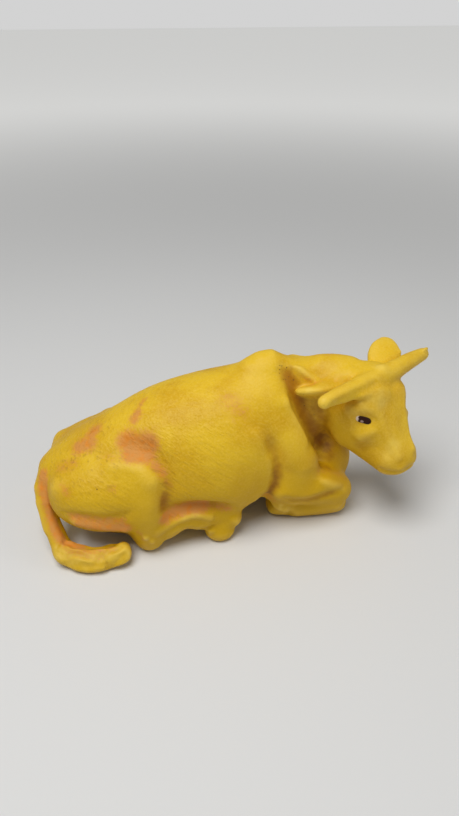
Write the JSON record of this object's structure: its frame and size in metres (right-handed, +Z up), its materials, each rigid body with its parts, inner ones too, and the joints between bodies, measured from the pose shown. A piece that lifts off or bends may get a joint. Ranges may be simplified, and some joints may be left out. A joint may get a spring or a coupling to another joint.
{
  "type": "toy animal figure",
  "caption": "Small moulded toy cow lying with folded legs, curled tail and head turned to its right, for pretend play.",
  "frame": {"origin": "on the table, under the middle of the figure's bounding box", "axes": "+X from the tail towards the chest, +Y to the animal's left, +Z up"},
  "size_m": [0.0788, 0.0314, 0.0346],
  "materials": {
    "yellow_plastic": "satin soft plastic, mellow yellow with worn orange-brown shading in its creases",
    "painted_eye": "dark brown paint on the moulded eye"
  },
  "bodies": {
    "root": {"brisket": "yellow_plastic", "ear_left": "yellow_plastic", "ear_right": "yellow_plastic", "eye_left": "painted_eye", "eye_right": "painted_eye", "fore_hoof_left": "yellow_plastic", "fore_hoof_right": "yellow_plastic", "fore_shin_left": "yellow_plastic", "fore_shin_right": "yellow_plastic", "foreleg_left": "yellow_plastic", "foreleg_right": "yellow_plastic", "haunch_left": "yellow_plastic", "haunch_right": "yellow_plastic", "head": "yellow_plastic", "hind_hoof_left": "yellow_plastic", "hind_hoof_right": "yellow_plastic", "hind_shank_left": "yellow_plastic", "hind_shank_right": "yellow_plastic", "hind_shin_left": "yellow_plastic", "hind_shin_right": "yellow_plastic", "horn_left": "yellow_plastic", "horn_right": "yellow_plastic", "neck": "yellow_plastic", "tail": "yellow_plastic", "tail_tuft": "yellow_plastic", "torso": "yellow_plastic"}
  },
  "joints": []
}
